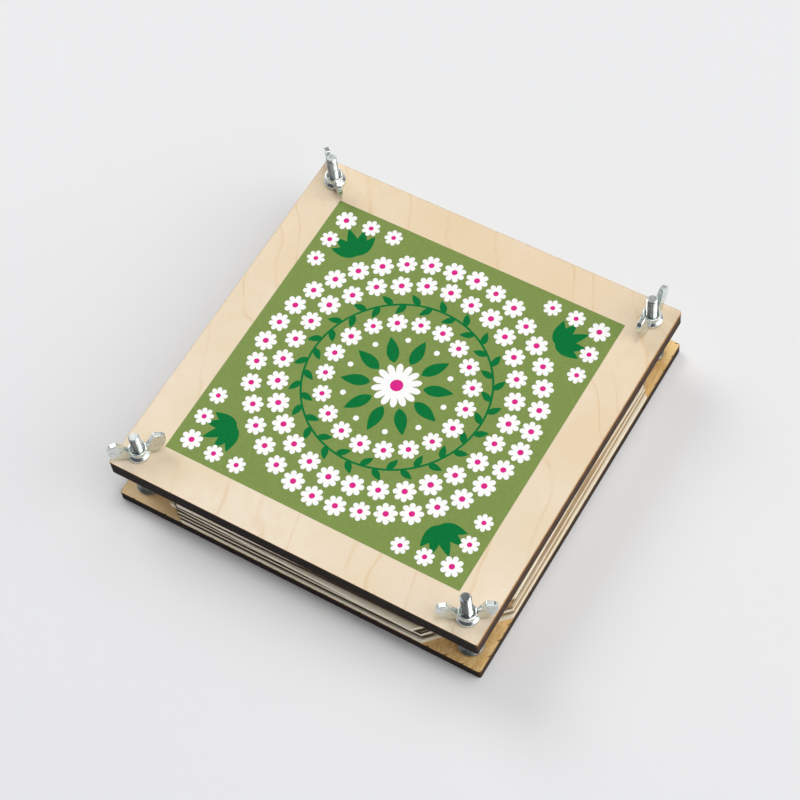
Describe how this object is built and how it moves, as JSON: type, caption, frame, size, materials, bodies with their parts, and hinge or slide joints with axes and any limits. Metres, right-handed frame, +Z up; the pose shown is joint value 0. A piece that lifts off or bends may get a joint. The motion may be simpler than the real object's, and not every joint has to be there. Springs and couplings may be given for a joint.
{
  "type": "flower press",
  "caption": "Square flower press: two plywood boards drawn together by wing nuts on corner bolts, with blotting pads and cards between them.",
  "frame": {"origin": "centre of the bottom board's underside, on the surface that the press stands on", "axes": "+Z up, from the bottom board to the wing nuts; +X along the front left edge of the picture, from the left corner to the front corner; +Y from the left corner to the back corner"},
  "size_m": [0.1822, 0.1851, 0.0501],
  "materials": {
    "plywood": "bare birch plywood, edges charred by the laser",
    "zinc_plated_steel": "bright zinc plate",
    "blotting_paper": "matt, cream",
    "grey_brown_card": "matt, brown"
  },
  "bodies": {
    "base": {"bottom_board": "plywood", "bolt_left": "zinc_plated_steel", "bolt_front": "zinc_plated_steel", "bolt_right": "zinc_plated_steel", "bolt_back": "zinc_plated_steel", "lock_nut_left": "zinc_plated_steel", "lock_nut_front": "zinc_plated_steel", "lock_nut_right": "zinc_plated_steel", "lock_nut_back": "zinc_plated_steel", "pad_1": "blotting_paper"},
    "upper_board": {"top_board": "plywood"},
    "left_wing_nut": {"wing_nut_left": "zinc_plated_steel"},
    "front_wing_nut": {"wing_nut_front": "zinc_plated_steel"},
    "right_wing_nut": {"wing_nut_right": "zinc_plated_steel"},
    "back_wing_nut": {"wing_nut_back": "zinc_plated_steel"},
    "loose_card_1": {"card_1": "grey_brown_card"},
    "loose_pad_2": {"pad_2": "blotting_paper"},
    "loose_card_2": {"card_2": "grey_brown_card"},
    "loose_pad_3": {"pad_3": "blotting_paper"},
    "loose_card_3": {"card_3": "grey_brown_card"},
    "loose_pad_4": {"pad_4": "blotting_paper"},
    "loose_card_4": {"card_4": "grey_brown_card"},
    "loose_pad_5": {"pad_5": "blotting_paper"}
  },
  "joints": [
    {"name": "top_board_lift", "type": "slide", "parent": "base", "child": "upper_board", "axis": [0, 0, 1], "range_m": [0, 0.0096]},
    {"name": "left_nut_turn", "type": "hinge", "parent": "upper_board", "child": "left_wing_nut", "pos_m": [-0.0804, -0.0804, 0.0304], "axis": [0, 0, 1], "range_deg": [0, 4320]},
    {"name": "front_nut_turn", "type": "hinge", "parent": "upper_board", "child": "front_wing_nut", "pos_m": [0.0804, -0.0804, 0.0304], "axis": [0, 0, 1], "range_deg": [0, 4320]},
    {"name": "right_nut_turn", "type": "hinge", "parent": "upper_board", "child": "right_wing_nut", "pos_m": [0.0804, 0.0804, 0.0304], "axis": [0, 0, 1], "range_deg": [0, 4320]},
    {"name": "back_nut_turn", "type": "hinge", "parent": "upper_board", "child": "back_wing_nut", "pos_m": [-0.0804, 0.0804, 0.0304], "axis": [0, 0, 1], "range_deg": [0, 4320]},
    {"name": "card_1_lift", "type": "slide", "parent": "base", "child": "loose_card_1", "axis": [0, 0, 1], "range_m": [0, 0.00107]},
    {"name": "pad_2_lift", "type": "slide", "parent": "base", "child": "loose_pad_2", "axis": [0, 0, 1], "range_m": [0, 0.00213]},
    {"name": "card_2_lift", "type": "slide", "parent": "base", "child": "loose_card_2", "axis": [0, 0, 1], "range_m": [0, 0.0032]},
    {"name": "pad_3_lift", "type": "slide", "parent": "base", "child": "loose_pad_3", "axis": [0, 0, 1], "range_m": [0, 0.00427]},
    {"name": "card_3_lift", "type": "slide", "parent": "base", "child": "loose_card_3", "axis": [0, 0, 1], "range_m": [0, 0.00533]},
    {"name": "pad_4_lift", "type": "slide", "parent": "base", "child": "loose_pad_4", "axis": [0, 0, 1], "range_m": [0, 0.0064]},
    {"name": "card_4_lift", "type": "slide", "parent": "base", "child": "loose_card_4", "axis": [0, 0, 1], "range_m": [0, 0.00747]},
    {"name": "pad_5_lift", "type": "slide", "parent": "base", "child": "loose_pad_5", "axis": [0, 0, 1], "range_m": [0, 0.00853]}
  ],
  "couplings": [
    {"joint": "left_nut_turn", "follows": "top_board_lift", "rad_per_m": 7853.9},
    {"joint": "front_nut_turn", "follows": "top_board_lift", "rad_per_m": 7853.9},
    {"joint": "right_nut_turn", "follows": "top_board_lift", "rad_per_m": 7853.9},
    {"joint": "back_nut_turn", "follows": "top_board_lift", "rad_per_m": 7853.9},
    {"joint": "card_1_lift", "follows": "top_board_lift", "ratio": 0.11111},
    {"joint": "pad_2_lift", "follows": "top_board_lift", "ratio": 0.22222},
    {"joint": "card_2_lift", "follows": "top_board_lift", "ratio": 0.33333},
    {"joint": "pad_3_lift", "follows": "top_board_lift", "ratio": 0.44444},
    {"joint": "card_3_lift", "follows": "top_board_lift", "ratio": 0.55556},
    {"joint": "pad_4_lift", "follows": "top_board_lift", "ratio": 0.66667},
    {"joint": "card_4_lift", "follows": "top_board_lift", "ratio": 0.77778},
    {"joint": "pad_5_lift", "follows": "top_board_lift", "ratio": 0.88889}
  ]
}
